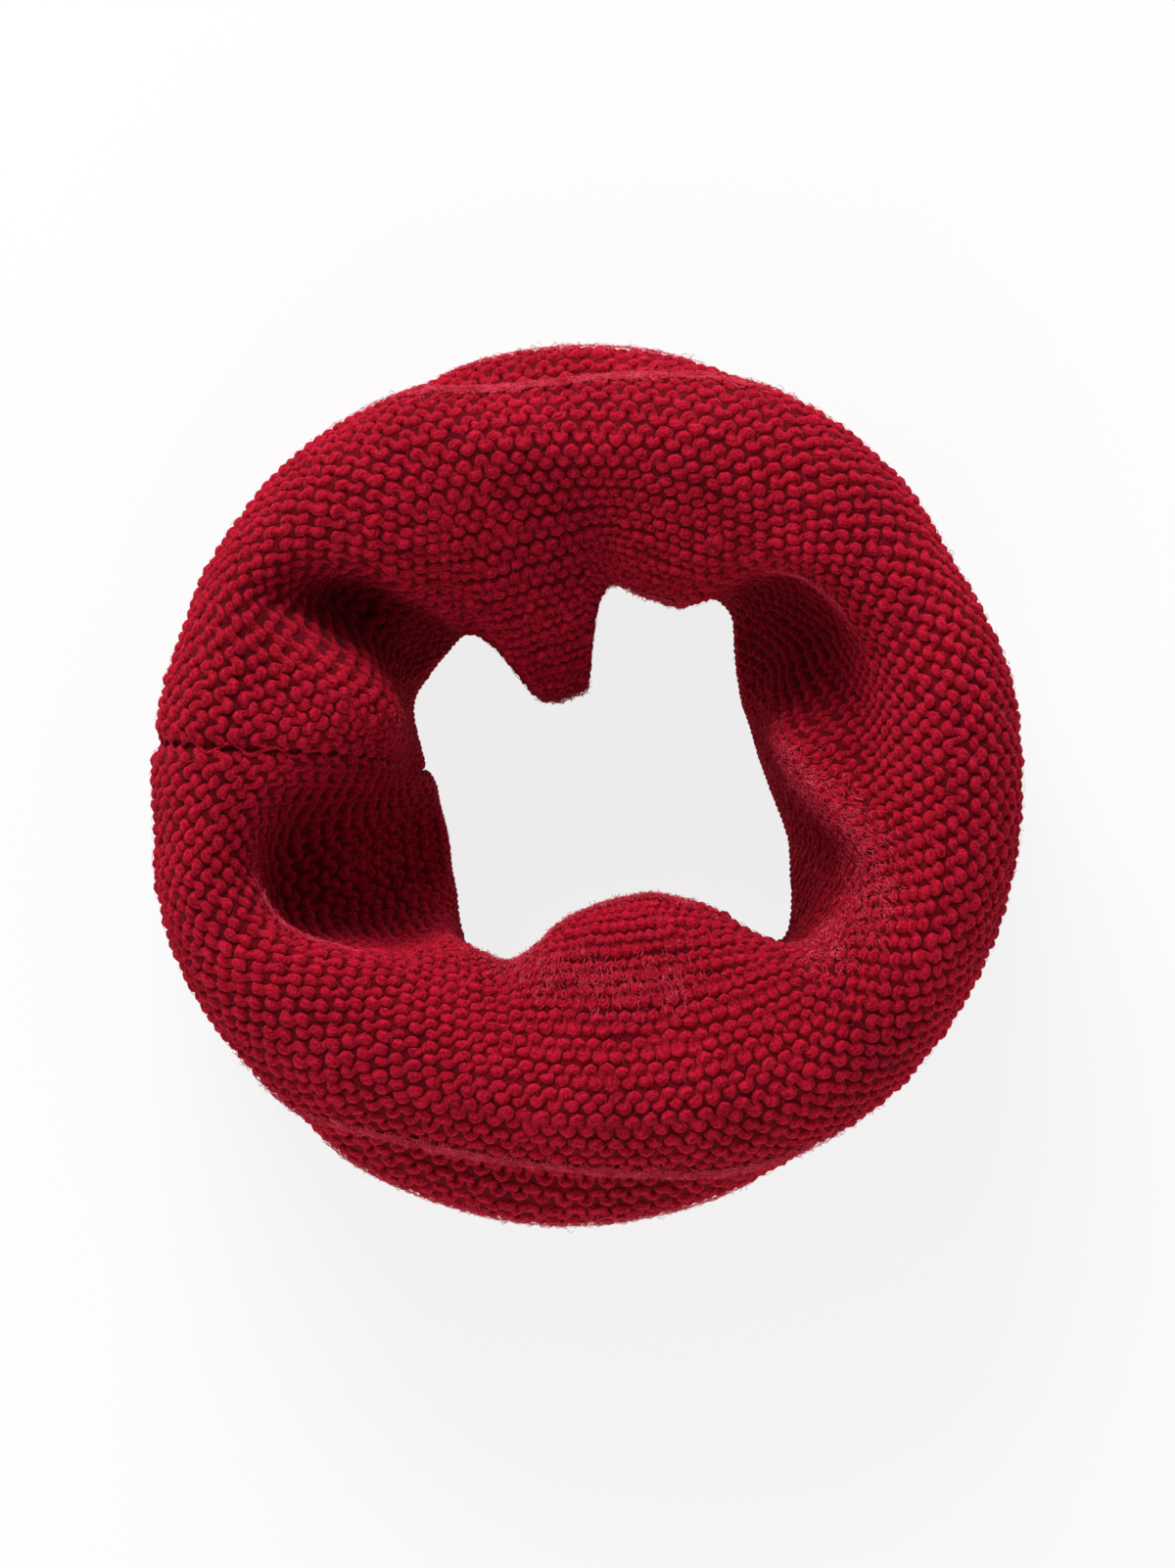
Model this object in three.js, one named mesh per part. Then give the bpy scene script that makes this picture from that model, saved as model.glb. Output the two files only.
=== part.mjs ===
// Infinity scarf in garter stitch, turned in on itself and resting on its two hems.
// One knitted strip is joined end to end into a loop. The loop is folded lengthwise, so the cloth goes
// up outside, over a soft crown and down inside to a second hem round the neck opening.
// Millimetres, +Z up, the surface it rests on at z = 0, the loop's centre on the Z axis.
// Angles are in degrees, anticlockwise seen from above, 0 at +X.
import * as THREE from 'three';

// Driving sizes of the knitted wall
const CLOTH = 3.2; // thickness of the garter stitch cloth
const JOIN_GAP = 0.3; // between the strip's ends, and between the two layers along the crown
const JOIN_AT = 174.5; // where the strip's ends are sewn together
const JOIN_SINK = 1.4; // how far the sewn stitches pull the cloth's face in at the join

// Heights of the outside's named levels
const FOOT_Z = 9; // cloth stands upright on its hem up to here
const BELLY_Z = 28; // widest level of the lower swell
const SWELL_Z = 44; // top of the lower swell
const TUCK_Z = 55; // groove under the roll
const ROLL_Z = 64; // outermost level of the roll
const SHOULDER_Z = 76;
const ROLL_LIFT = 0.6; // how far the roll and its groove rise for each millimetre of slouch
const SHOULDER_LIFT = 0.3;
const BROW_DROP = 3; // the outer edge of the crown lies this far below its top

// Offsets of the outside's levels from its silhouette
const HEM_IN = 5; // the outer hem stands this far inside the silhouette
const BELLY_IN = 0.6;
const SWELL_SHARE = 0.12; // how far the swell's top draws in for each millimetre of slouch
const TUCK_IN = 0.6; // least depth of the groove
const TUCK_SHARE = 0.35; // further depth of the groove for each millimetre of slouch
const SHOULDER_IN = 3;
const BROW_SHARE = 0.55; // place of the brow between the crown and the shoulder

// How far a section has turned from its outer angle to its inner one at the rim and the trough
const RIM_TURN = 0.3;
const TROUGH_TURN = 0.7;
const GATHER_SHARE = 0.5; // how far the stitches spread themselves evenly along the inner hem

// Fineness of the solids
const AROUND = 90;
const UP_OUTSIDE = 18;
const DOWN_INSIDE = 17;
const SPAN_SAMPLES = 16; // samples between two control points of a section
const RELAX_TIMES = 4; // rounds of easing of the face, as thick cloth takes no sharp fold
const EASE_TIMES = 3; // rounds of easing of the wall's normals
const EASE_SHARE = 0.5;

// The outside, seen from above: reach is the silhouette, roll the edge of the upper roll where the cloth
// slouches over itself, crown and height the highest line.
const OUTSIDE = rows('at reach roll crown height', [
  [0, 97.7, 97.7, 79, 88],
  [15, 98.1, 98.1, 79, 87],
  [30, 96.3, 96.3, 80, 86],
  [44, 98.1, 98.1, 80, 87],
  [53, 98.5, 98.5, 78, 88],
  [62, 98.7, 98.3, 76, 88],
  [72, 99.5, 95.9, 75, 89],
  [84, 100.3, 91.9, 75, 88],
  [97, 100.3, 90.1, 75, 88],
  [106, 99.9, 92.0, 76, 89],
  [114, 98.7, 96.8, 77, 89],
  [133, 98.9, 98.9, 83, 88],
  [143, 98.7, 98.7, 87, 86],
  [151, 98.3, 98.3, 87, 87],
  [160, 97.3, 97.3, 80, 88],
  [172, 97.9, 97.9, 79, 88],
  [184, 97.9, 97.9, 84, 86],
  [194, 99.7, 99.7, 88, 85],
  [204, 100.5, 100.5, 87, 85],
  [215, 99.5, 99.5, 81, 87],
  [228, 100.1, 98.5, 79, 88],
  [238, 102.1, 92.0, 77, 88],
  [250, 101.9, 87.6, 74, 88],
  [263, 101.7, 86.0, 73, 88],
  [277, 100.3, 87.8, 74, 88],
  [291, 98.7, 93.0, 76, 88],
  [305, 97.1, 96.3, 78, 88],
  [318, 97.7, 97.7, 80, 88],
  [338, 97.9, 97.9, 82, 88],
]);

// The inside: the rim where the crown turns down, the trough behind it, the crest of the cloth that
// falls into the neck opening, each with its height, and the inner hem on the floor.
const INSIDE = rows('at rim rimZ trough troughZ crest crestZ hem', [
  [0, 69, 84, 60, 75, 49.5, 73, 42.4],
  [13, 70, 82, 61, 68, 45.5, 62, 40.4],
  [25, 71, 79, 61, 58, 47, 42, 40.6],
  [35, 72, 77, 62, 50, 50, 28, 43],
  [44, 71, 80, 64, 48, 54, 26, 47.8],
  [50, 69, 83, 62, 60, 55, 36, 52.5],
  [56, 66, 84, 56, 76, 50, 58, 53],
  [63, 65, 85, 54, 80, 44.8, 67, 51],
  [74, 64, 85, 54, 79, 44.6, 67, 50],
  [82, 64, 83, 53, 75, 46, 64, 50],
  [86.5, 63, 81, 50, 69, 41, 56, 44],
  [90, 62, 80, 46, 66, 22, 49, 26],
  [97, 64, 82, 44, 69, 21.4, 46, 24.6],
  [107, 65, 84, 43, 71, 20.6, 46, 23.6],
  [116, 66, 85, 44, 73, 21.8, 47, 25],
  [121, 66, 85, 48, 74, 23.6, 51, 28],
  [125, 66, 85, 52, 75, 40.5, 56, 43.5],
  [129, 67, 85, 55, 76, 45, 58, 45.6],
  [133, 69, 85, 58, 77, 53, 60, 45.4],
  [137, 72, 84, 64, 70, 56, 42, 45],
  [141, 77, 81, 68, 52, 57, 44, 45],
  [145, 80, 77, 71, 54, 60, 52, 45],
  [149, 80, 78, 71, 72, 58, 65, 45.2],
  [153, 78, 85, 67, 83, 52, 72, 45.4],
  [159, 71, 87, 60, 85, 46.5, 74, 43.6],
  [167, 69, 87, 58, 84, 45, 71, 40.2],
  [174, 70, 86, 60, 81, 46, 62, 38],
  [181, 73, 84, 63, 73, 49, 49, 35.2],
  [188, 77, 81, 68, 55, 53, 34, 35],
  [194, 79, 79, 71, 43, 56, 27, 34.6],
  [201, 79, 79, 71, 42, 56, 27, 35],
  [207, 75, 82, 67, 50, 55, 31, 36.2],
  [213, 70, 84, 62, 68, 53, 38, 37.8],
  [220, 67, 86, 57, 79, 51, 52, 40],
  [227, 66, 86, 56, 81, 48, 66, 44],
  [236, 65, 86, 54, 81, 45.6, 70, 48],
  [246, 65, 86, 53, 81, 44.6, 71, 48],
  [251, 65, 86, 50, 81, 40.2, 72, 44],
  [257, 64, 86, 47, 81, 34, 72, 38],
  [267, 64, 86, 45, 80, 30.2, 73, 34.5],
  [282, 64, 86, 45, 80, 28.4, 73, 32.5],
  [296, 66, 86, 47, 80, 29.3, 73, 33.5],
  [308, 69, 87, 52, 80, 34, 70, 39],
  [315, 72, 87, 58, 82, 40.4, 67, 46],
  [321, 76, 87, 68, 85, 59.5, 75, 59],
  [328, 77, 88, 72, 86, 65.5, 80, 56.4],
  [337, 77, 88, 72, 86, 66.4, 81, 51.6],
  [344, 76, 88, 71, 85, 64, 80, 49.2],
  [351, 73, 87, 66, 82, 56.5, 77, 45.8],
]);

// The neck of the fall: where the cloth stands between its crest and its foot
const FALL_LEVEL = 0.45; // height, as a share of the crest's
const FALL_SHARE = 0.3; // distance out from the hem, as a share of the crest's

/** Rows of numbers as objects with named columns. */
function rows(names, numbers) {
  const keys = names.split(' ');
  return numbers.map((row) => Object.fromEntries(keys.map((key, i) => [key, row[i]])));
}

/** A column of a table as a smooth function of the angle, once round, that never overshoots its rows. */
function around(table, column) {
  const n = table.length;
  const at = (i) => table[((i % n) + n) % n].at + 360 * Math.floor(i / n);
  const value = (i) => table[((i % n) + n) % n][column];
  const slope = (i) => (value(i + 1) - value(i)) / (at(i + 1) - at(i));
  const tangent = (i) => {
    const [before, after] = [slope(i - 1), slope(i)];
    return before * after <= 0 ? 0 : (2 * before * after) / (before + after);
  };
  return (angle) => {
    const a = THREE.MathUtils.euclideanModulo(angle - table[0].at, 360) + table[0].at;
    let i = n - 1;
    while (table[i].at > a) i -= 1;
    const gap = at(i + 1) - at(i);
    const t = (a - at(i)) / gap;
    const s = 1 - t;
    return (
      s * s * (1 + 2 * t) * value(i) +
      t * t * (3 - 2 * t) * value(i + 1) +
      s * s * t * gap * tangent(i) -
      t * t * s * gap * tangent(i + 1)
    );
  };
}

const outside = {};
for (const column of ['reach', 'roll', 'crown', 'height']) outside[column] = around(OUTSIDE, column);
const inside = {};
for (const column of ['rim', 'rimZ', 'trough', 'troughZ', 'crest', 'crestZ', 'hem']) {
  inside[column] = around(INSIDE, column);
}

/** The turn that spreads a section's inner end along the inner hem, as a function of its outer angle. */
function gatherTurn() {
  const steps = 720;
  const step = 360 / steps;
  const lengths = [];
  for (let i = 0; i < steps; i += 1) {
    const a = JOIN_AT + i * step;
    lengths.push(at(inside.hem(a), a, 0).distanceTo(at(inside.hem(a + step), a + step, 0)));
  }
  const round = lengths.reduce((sum, length) => sum + length, 0);
  const stitched = [0];
  for (const length of lengths) {
    const even = (length / round) * 360;
    stitched.push(stitched.at(-1) + GATHER_SHARE * even + (1 - GATHER_SHARE) * step);
  }
  return (angle) => {
    const along = THREE.MathUtils.euclideanModulo(angle - JOIN_AT, 360);
    let i = 0;
    while (i < steps - 1 && stitched[i + 1] < along) i += 1;
    const share = (along - stitched[i]) / (stitched[i + 1] - stitched[i]);
    return (i + share) * step - along;
  };
}

/** A point at a radius, an angle and a height. */
function at(radius, angle, z) {
  const a = THREE.MathUtils.degToRad(angle);
  return new THREE.Vector3(radius * Math.cos(a), radius * Math.sin(a), z);
}

const turnOf = gatherTurn();

/** Control points of one section of the cloth's face, from the outer hem over the crown to the inner hem. */
function sectionPoints(angle) {
  const reach = outside.reach(angle);
  const roll = outside.roll(angle);
  const slouch = reach - roll;
  const shoulder = roll - SHOULDER_IN;
  const crown = outside.crown(angle);
  const height = outside.height(angle);
  const turn = turnOf(angle);
  const rimAngle = angle + RIM_TURN * turn;
  const troughAngle = angle + TROUGH_TURN * turn;
  const inner = angle + turn;
  const hem = inside.hem(inner);
  const crest = inside.crest(inner);
  const crestZ = inside.crestZ(inner);
  return [
    at(reach - HEM_IN, angle, 0),
    at(reach - HEM_IN / 2, angle, FOOT_Z),
    at(reach - BELLY_IN, angle, BELLY_Z),
    at(reach - BELLY_IN - SWELL_SHARE * slouch, angle, SWELL_Z),
    at(roll - TUCK_IN - TUCK_SHARE * slouch, angle, TUCK_Z + ROLL_LIFT * slouch),
    at(roll, angle, ROLL_Z + ROLL_LIFT * slouch),
    at(shoulder, angle, SHOULDER_Z + SHOULDER_LIFT * slouch),
    at(crown + BROW_SHARE * (shoulder - crown), angle, height - BROW_DROP),
    at(crown, angle, height),
    at(inside.rim(rimAngle), rimAngle, inside.rimZ(rimAngle)),
    at(inside.trough(troughAngle), troughAngle, inside.troughZ(troughAngle)),
    at(crest, inner, crestZ),
    at(hem + FALL_SHARE * (crest - hem), inner, FALL_LEVEL * crestZ),
    at(hem, inner, FOOT_Z),
    at(hem, inner, 0),
  ];
}

const CROWN_POINT = 8; // place of the crown among the control points

/** Points spaced evenly by length along part of a densely sampled curve. */
function spaced(dense, count) {
  const lengths = [0];
  for (let i = 1; i < dense.length; i += 1) {
    lengths.push(lengths[i - 1] + dense[i].distanceTo(dense[i - 1]));
  }
  const points = [];
  let i = 0;
  for (let k = 0; k <= count; k += 1) {
    const wanted = (k / count) * lengths.at(-1);
    while (i < dense.length - 2 && lengths[i + 1] < wanted) i += 1;
    const share = (wanted - lengths[i]) / (lengths[i + 1] - lengths[i]);
    points.push(dense[i].clone().lerp(dense[i + 1], Math.min(share, 1)));
  }
  return points;
}

/** One section of the face as evenly spaced points, two for each row of the solids: the outside, then the inside. */
function section(angle) {
  const controls = sectionPoints(angle);
  const curve = new THREE.CatmullRomCurve3(controls, false, 'centripetal');
  const dense = curve.getPoints((controls.length - 1) * SPAN_SAMPLES);
  const crown = CROWN_POINT * SPAN_SAMPLES;
  const up = spaced(dense.slice(0, crown + 1), 2 * UP_OUTSIDE);
  const down = spaced(dense.slice(crown), 2 * DOWN_INSIDE);
  return [...up, ...down.slice(1)];
}

/** The face as a grid twice as fine as the solids', the first and last of its sections at the join. */
function fineGrid() {
  const grid = [];
  for (let i = 0; i < 2 * AROUND; i += 1) grid.push(section(JOIN_AT + (180 * i) / AROUND));
  grid.push(grid[0].map((point) => point.clone()));
  return grid;
}

/** The same grid, each point eased towards its neighbours as thick cloth is, the hems staying on the floor. */
function relaxed(grid) {
  const last = grid[0].length - 1;
  const middle = (p, q) => p.clone().lerp(q, 0.5);
  return grid.map((points, i) =>
    points.map((point, j) => {
      let target = middle(grid[i === 2 * AROUND ? 1 : i + 1][j], grid[i === 0 ? 2 * AROUND - 1 : i - 1][j]);
      if (j > 0 && j < last) target = middle(target, middle(points[j - 1], points[j + 1]));
      return middle(point, target);
    }),
  );
}

/** Every second item of a list. */
function everySecond(list) {
  return list.filter((_, i) => i % 2 === 0);
}

/** Unit normals of the face, pointing out of the cloth on the side that shows. */
function gridNormals(grid) {
  const last = grid[0].length - 1;
  return grid.map((points, i) =>
    points.map((_, j) => {
      const next = grid[i === AROUND ? 1 : i + 1][j];
      const previous = grid[i === 0 ? AROUND - 1 : i - 1][j];
      const along = next.clone().sub(previous);
      const across = points[Math.min(j + 1, last)].clone().sub(points[Math.max(j - 1, 0)]);
      const normal = along.cross(across).normalize();
      if (j === 0 || j === last) normal.setZ(0).normalize();
      return normal;
    }),
  );
}

/** The same normals, each eased towards its neighbours' so that the wall keeps clear of itself in tight folds. */
function eased(normals) {
  const last = normals[0].length - 1;
  return normals.map((row, i) =>
    row.map((normal, j) => {
      const sum = normal.clone();
      if (j === 0 || j === last) return sum;
      const beside = [normals[i === AROUND ? 1 : i + 1][j], normals[i === 0 ? AROUND - 1 : i - 1][j]];
      for (const near of [...beside, row[j - 1], row[j + 1]]) sum.addScaledVector(near, EASE_SHARE);
      return sum.normalize();
    }),
  );
}

/** A point of a layer's edge, drawn back by half of the gap towards the next point inside the layer. */
function drawnBack(point, inward) {
  return point.clone().add(inward.clone().sub(point).setLength(JOIN_GAP / 2));
}

/** Whether the diagonal from a cell's first corner to its far one lies closer to the cloth than the other. */
function firstDiagonal(i, j) {
  const middle = fine[2 * i + 1][2 * j + 1];
  const miss = (p, q) => p.clone().lerp(q, 0.5).distanceTo(middle);
  return miss(face[i][j], face[i + 1][j + 1]) < miss(face[i + 1][j], face[i][j + 1]);
}

/** One layer of the cloth: the wall between two levels of the face grid, closed along all its edges. */
function layer(name, from, to, material) {
  const positions = [];
  const width = to - from + 1;
  const put = (surface) => {
    for (let i = 0; i <= AROUND; i += 1) {
      for (let j = from; j <= to; j += 1) positions.push(...surface(i, j).toArray());
    }
  };
  const parted = (points, i, j) => {
    let point = points[i][j];
    if (j === UP_OUTSIDE) point = drawnBack(point, points[i][from === UP_OUTSIDE ? j + 1 : j - 1]);
    if (i === 0) point = drawnBack(point, points[1][j]);
    if (i === AROUND) point = drawnBack(point, points[AROUND - 1][j]);
    return point;
  };
  put((i, j) => parted(i === 0 || i === AROUND ? sunk : face, i, j));
  put((i, j) => parted(back, i, j));

  const indices = [];
  const sheet = (AROUND + 1) * width;
  const index = (side, i, j) => side * sheet + i * width + (j - from);
  const quad = (a, b, c, d, first = true) => {
    indices.push(...(first ? [a, b, c, a, c, d] : [a, b, d, b, c, d]));
  };
  for (let i = 0; i < AROUND; i += 1) {
    for (let j = from; j < to; j += 1) {
      const first = firstDiagonal(i, j);
      quad(index(0, i, j), index(0, i + 1, j), index(0, i + 1, j + 1), index(0, i, j + 1), first);
      quad(index(1, i, j), index(1, i, j + 1), index(1, i + 1, j + 1), index(1, i + 1, j), first);
    }
    quad(index(0, i, from), index(1, i, from), index(1, i + 1, from), index(0, i + 1, from));
    quad(index(0, i, to), index(0, i + 1, to), index(1, i + 1, to), index(1, i, to));
  }
  for (let j = from; j < to; j += 1) {
    quad(index(0, 0, j), index(0, 0, j + 1), index(1, 0, j + 1), index(1, 0, j));
    quad(index(0, AROUND, j), index(1, AROUND, j), index(1, AROUND, j + 1), index(0, AROUND, j + 1));
  }

  const geometry = new THREE.BufferGeometry();
  geometry.setAttribute('position', new THREE.Float32BufferAttribute(positions, 3));
  geometry.setIndex(indices);
  geometry.computeVertexNormals();
  const mesh = new THREE.Mesh(geometry, material);
  mesh.name = name;
  return mesh;
}

let fine = fineGrid();
for (let i = 0; i < RELAX_TIMES; i += 1) fine = relaxed(fine);
const face = everySecond(fine).map(everySecond);
let normals = gridNormals(face);
for (let i = 0; i < EASE_TIMES; i += 1) normals = eased(normals);
const moved = (depth) => face.map((points, i) => points.map((p, j) => p.clone().addScaledVector(normals[i][j], -depth)));
const back = moved(CLOTH);
const sunk = moved(JOIN_SINK);

const wool = new THREE.MeshStandardMaterial({ name: 'red_wool', color: 0x9b152a, roughness: 0.95, metalness: 0 });

const scarf = new THREE.Group();
scarf.add(layer('outer_layer', 0, UP_OUTSIDE, wool));
scarf.add(layer('inner_layer', UP_OUTSIDE, UP_OUTSIDE + DOWN_INSIDE, wool.clone()));

const box = new THREE.Box3().setFromObject(scarf);
const centre = box.getCenter(new THREE.Vector3());
scarf.position.set(-centre.x, -centre.y, -box.min.z);

export default scarf;
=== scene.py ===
# %% [markdown]
# # A knitted loop scarf, seen from straight above
#
# The scarf is one strip of thick crimson garter stitch, sewn end to end into a loop and turned in on
# itself: up the outside, over a soft crown and down the inside to a second hem round the neck. It could be
# a smooth surface with a knitted picture on it, but the eye reads such knitting by its shadows, so here
# every stitch is a real strand of yarn. We start by loading the measured frame that the scarf must fit.

# %% Load the frame
import math

import bpy
import numpy as np
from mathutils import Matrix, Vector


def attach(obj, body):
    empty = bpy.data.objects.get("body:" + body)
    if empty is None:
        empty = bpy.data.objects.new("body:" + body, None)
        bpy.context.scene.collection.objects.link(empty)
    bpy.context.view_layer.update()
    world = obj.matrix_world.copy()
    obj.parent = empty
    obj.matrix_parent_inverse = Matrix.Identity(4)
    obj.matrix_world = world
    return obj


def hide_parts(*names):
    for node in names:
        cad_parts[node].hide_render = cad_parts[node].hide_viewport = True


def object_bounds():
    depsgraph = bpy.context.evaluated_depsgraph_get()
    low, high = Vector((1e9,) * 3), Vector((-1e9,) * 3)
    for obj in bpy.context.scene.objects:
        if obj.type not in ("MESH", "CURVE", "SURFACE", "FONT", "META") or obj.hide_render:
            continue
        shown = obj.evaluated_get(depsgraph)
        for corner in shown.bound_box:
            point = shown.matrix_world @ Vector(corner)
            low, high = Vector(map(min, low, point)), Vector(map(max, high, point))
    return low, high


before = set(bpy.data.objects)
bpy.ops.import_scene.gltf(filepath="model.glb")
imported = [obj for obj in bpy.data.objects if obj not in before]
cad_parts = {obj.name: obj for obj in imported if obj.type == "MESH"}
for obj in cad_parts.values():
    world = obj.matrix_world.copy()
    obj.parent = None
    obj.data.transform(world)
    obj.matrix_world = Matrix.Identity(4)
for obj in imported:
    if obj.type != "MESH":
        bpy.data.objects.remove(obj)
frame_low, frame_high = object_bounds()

MM = 0.001
print("frame, mm:", [round((h - l) / MM, 1) for l, h in zip(frame_low, frame_high)])

# %% [markdown]
# ## The form of the folded strip
#
# A cloth that lies in folds could come from a simulation, but this one has to lie exactly as it was
# photographed. So its form is written as sections. A section follows the cloth from the outer hem over the
# crown to the inner hem at one angle, and two short tables say how far out and how high its named points
# are. Every column of a table is read as a smooth curve round the ring that never overshoots its rows.

# %% Tables of the form, in millimetres and degrees
JOIN_AT = 174.5  # where the strip's ends are sewn together
FOOT_Z = 9  # the cloth stands upright on its hem up to here
BELLY_Z = 28  # widest level of the lower swell
SWELL_Z = 44
TUCK_Z = 55  # groove under the slouched roll
ROLL_Z = 64  # outermost level of the roll
SHOULDER_Z = 76
ROLL_LIFT = 0.6  # how far the roll and its groove rise for each millimetre of slouch
SHOULDER_LIFT = 0.3
BROW_DROP = 3
HEM_IN = 5  # the outer hem stands this far inside the silhouette
BELLY_IN = 0.6
SWELL_SHARE = 0.12
TUCK_IN = 0.6
TUCK_SHARE = 0.35
SHOULDER_IN = 3
BROW_SHARE = 0.55
RIM_TURN = 0.3
TROUGH_TURN = 0.7
GATHER_SHARE = 0.5  # how far the stitches spread themselves evenly along the inner hem
FALL_LEVEL = 0.45
FALL_SHARE = 0.3

OUTSIDE = (
    "at reach roll crown height",
    [
        [0, 97.7, 97.7, 79, 88],
        [15, 98.1, 98.1, 79, 87],
        [30, 96.3, 96.3, 80, 86],
        [44, 98.1, 98.1, 80, 87],
        [53, 98.5, 98.5, 78, 88],
        [62, 98.7, 98.3, 76, 88],
        [72, 99.5, 95.9, 75, 89],
        [84, 100.3, 91.9, 75, 88],
        [97, 100.3, 90.1, 75, 88],
        [106, 99.9, 92.0, 76, 89],
        [114, 98.7, 96.8, 77, 89],
        [133, 98.9, 98.9, 83, 88],
        [143, 98.7, 98.7, 87, 86],
        [151, 98.3, 98.3, 87, 87],
        [160, 97.3, 97.3, 80, 88],
        [172, 97.9, 97.9, 79, 88],
        [184, 97.9, 97.9, 84, 86],
        [194, 99.7, 99.7, 88, 85],
        [204, 100.5, 100.5, 87, 85],
        [215, 99.5, 99.5, 81, 87],
        [228, 100.1, 98.5, 79, 88],
        [238, 102.1, 92.0, 77, 88],
        [250, 101.9, 87.6, 74, 88],
        [263, 101.7, 86.0, 73, 88],
        [277, 100.3, 87.8, 74, 88],
        [291, 98.7, 93.0, 76, 88],
        [305, 97.1, 96.3, 78, 88],
        [318, 97.7, 97.7, 80, 88],
        [338, 97.9, 97.9, 82, 88],
    ],
)
INSIDE = (
    "at rim rimZ trough troughZ crest crestZ hem",
    [
        [0, 69, 84, 60, 73, 49.5, 73, 42.4],
        [13, 70, 82, 61, 65, 45.5, 62, 40.4],
        [25, 70.5, 80, 62, 56, 48, 40, 40.6],
        [35, 70, 82, 66.5, 53, 54, 28, 43],
        [44, 68, 84, 66, 53, 57, 26, 47.8],
        [50, 64.5, 84, 61.5, 62, 57.5, 36, 52.5],
        [56, 66, 84, 56, 76, 50, 58, 53],
        [63, 65, 85, 54, 80, 44.8, 67, 51],
        [74, 64, 85, 54, 79, 44.6, 67, 50],
        [82, 64, 83, 53, 75, 46, 64, 50],
        [86.5, 63, 81, 50, 69, 41, 56, 44],
        [90, 62, 80, 46, 66, 22, 49, 26],
        [97, 64, 82, 44, 69, 21.4, 46, 24.6],
        [107, 65, 84, 43, 71, 20.6, 46, 23.6],
        [116, 66, 85, 44, 73, 21.8, 47, 25],
        [121, 66, 85, 48, 74, 23.6, 51, 28],
        [125, 66, 85, 52, 75, 40.5, 56, 43.5],
        [129, 67, 85, 55, 76, 45, 58, 45.6],
        [133, 69, 85, 57.5, 79, 53, 60, 45.4],
        [137, 72, 84, 64.5, 63, 56.5, 42, 45],
        [141, 76, 82, 68.5, 47, 57, 42, 45],
        [145, 79, 78, 71, 51, 60, 50, 45],
        [149, 80, 78, 71, 72, 58, 65, 45.2],
        [153, 78, 85, 67, 83, 52, 72, 45.4],
        [159, 71, 87, 60, 85, 46.5, 74, 43.6],
        [167, 69, 87, 58, 84, 45, 71, 40.2],
        [174, 70, 86, 60, 81, 46, 62, 38],
        [181, 73, 84, 63, 73, 49, 49, 35.2],
        [188, 77, 82, 68, 58, 53, 38, 35],
        [194, 79, 80, 72, 46, 57, 33, 34.6],
        [201, 78, 82, 74, 42, 58, 32, 35],
        [207, 74.5, 84, 72, 53, 58.5, 29, 36.2],
        [213, 68, 85, 65.5, 60, 57, 33, 37.8],
        [220, 66, 86, 58.5, 79, 55.5, 46, 40],
        [227, 66, 86, 56, 81, 48, 66, 44],
        [236, 65, 86, 54, 81, 45.6, 70, 48],
        [246, 65, 86, 53, 81, 44.6, 71, 48],
        [251, 65, 86, 50, 81, 40.2, 72, 44],
        [257, 64, 86, 47, 81, 34, 72, 38],
        [267, 64, 86, 45, 80, 30.2, 73, 34.5],
        [282, 64, 86, 45, 80, 28.4, 73, 32.5],
        [296, 66, 86, 47, 80, 29.3, 73, 33.5],
        [308, 69, 87, 52, 80, 34, 70, 39],
        [315, 72, 87, 58, 82, 40.4, 67, 46],
        [321, 76, 87, 68, 85, 59.5, 75, 59],
        [328, 77, 88, 72, 86, 65.5, 80, 56.4],
        [337, 77, 88, 72, 86, 66.4, 81, 51.6],
        [344, 76, 88, 71, 85, 64, 80, 49.2],
        [351, 73, 87, 66, 82, 56.5, 77, 45.8],
    ],
)


def column(table, name):
    """A column of a table as a smooth function of the angle, once round, that never overshoots its rows."""
    names, numbers = table
    keys = names.split()
    rows = np.array(numbers, float)
    places, values = rows[:, 0], rows[:, keys.index(name)]
    ends = np.append(places, places[0] + 360)
    gaps = np.diff(ends)
    following = np.roll(values, -1)
    after = (following - values) / gaps
    before = np.roll(after, 1)
    both = np.where(before * after > 0, before + after, 1)
    tangent = np.where(before * after > 0, 2 * before * after / both, 0)
    next_tangent = np.roll(tangent, -1)

    def read(angle):
        a = np.mod(np.asarray(angle, float) - places[0], 360) + places[0]
        i = np.clip(np.searchsorted(ends, a, side="right") - 1, 0, len(places) - 1)
        t = (a - ends[i]) / gaps[i]
        s = 1 - t
        ease = s * s * (1 + 2 * t) * values[i] + t * t * (3 - 2 * t) * following[i]
        lean = s * s * t * tangent[i] - t * t * s * next_tangent[i]
        return ease + lean * gaps[i]

    return read


outside = {name: column(OUTSIDE, name) for name in OUTSIDE[0].split()[1:]}
inside = {name: column(INSIDE, name) for name in INSIDE[0].split()[1:]}
print("rows of the form:", len(OUTSIDE[1]), "outside,", len(INSIDE[1]), "inside")

# %% [markdown]
# The inner hem is a wavy line much shorter than the outer one. Knitting spreads itself along such an edge,
# so each section turns a little on its way in. The turn is worked out from the length of the inner hem.
# Then the named points of all the sections are set out round the ring.


# %% Sections round the ring
def place(radius, angle, height):
    """Points at radii, angles in degrees and heights."""
    a = np.radians(angle)
    flat = radius * 0 + a * 0 + height
    return np.stack([radius * np.cos(a), radius * np.sin(a), flat], -1)


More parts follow.
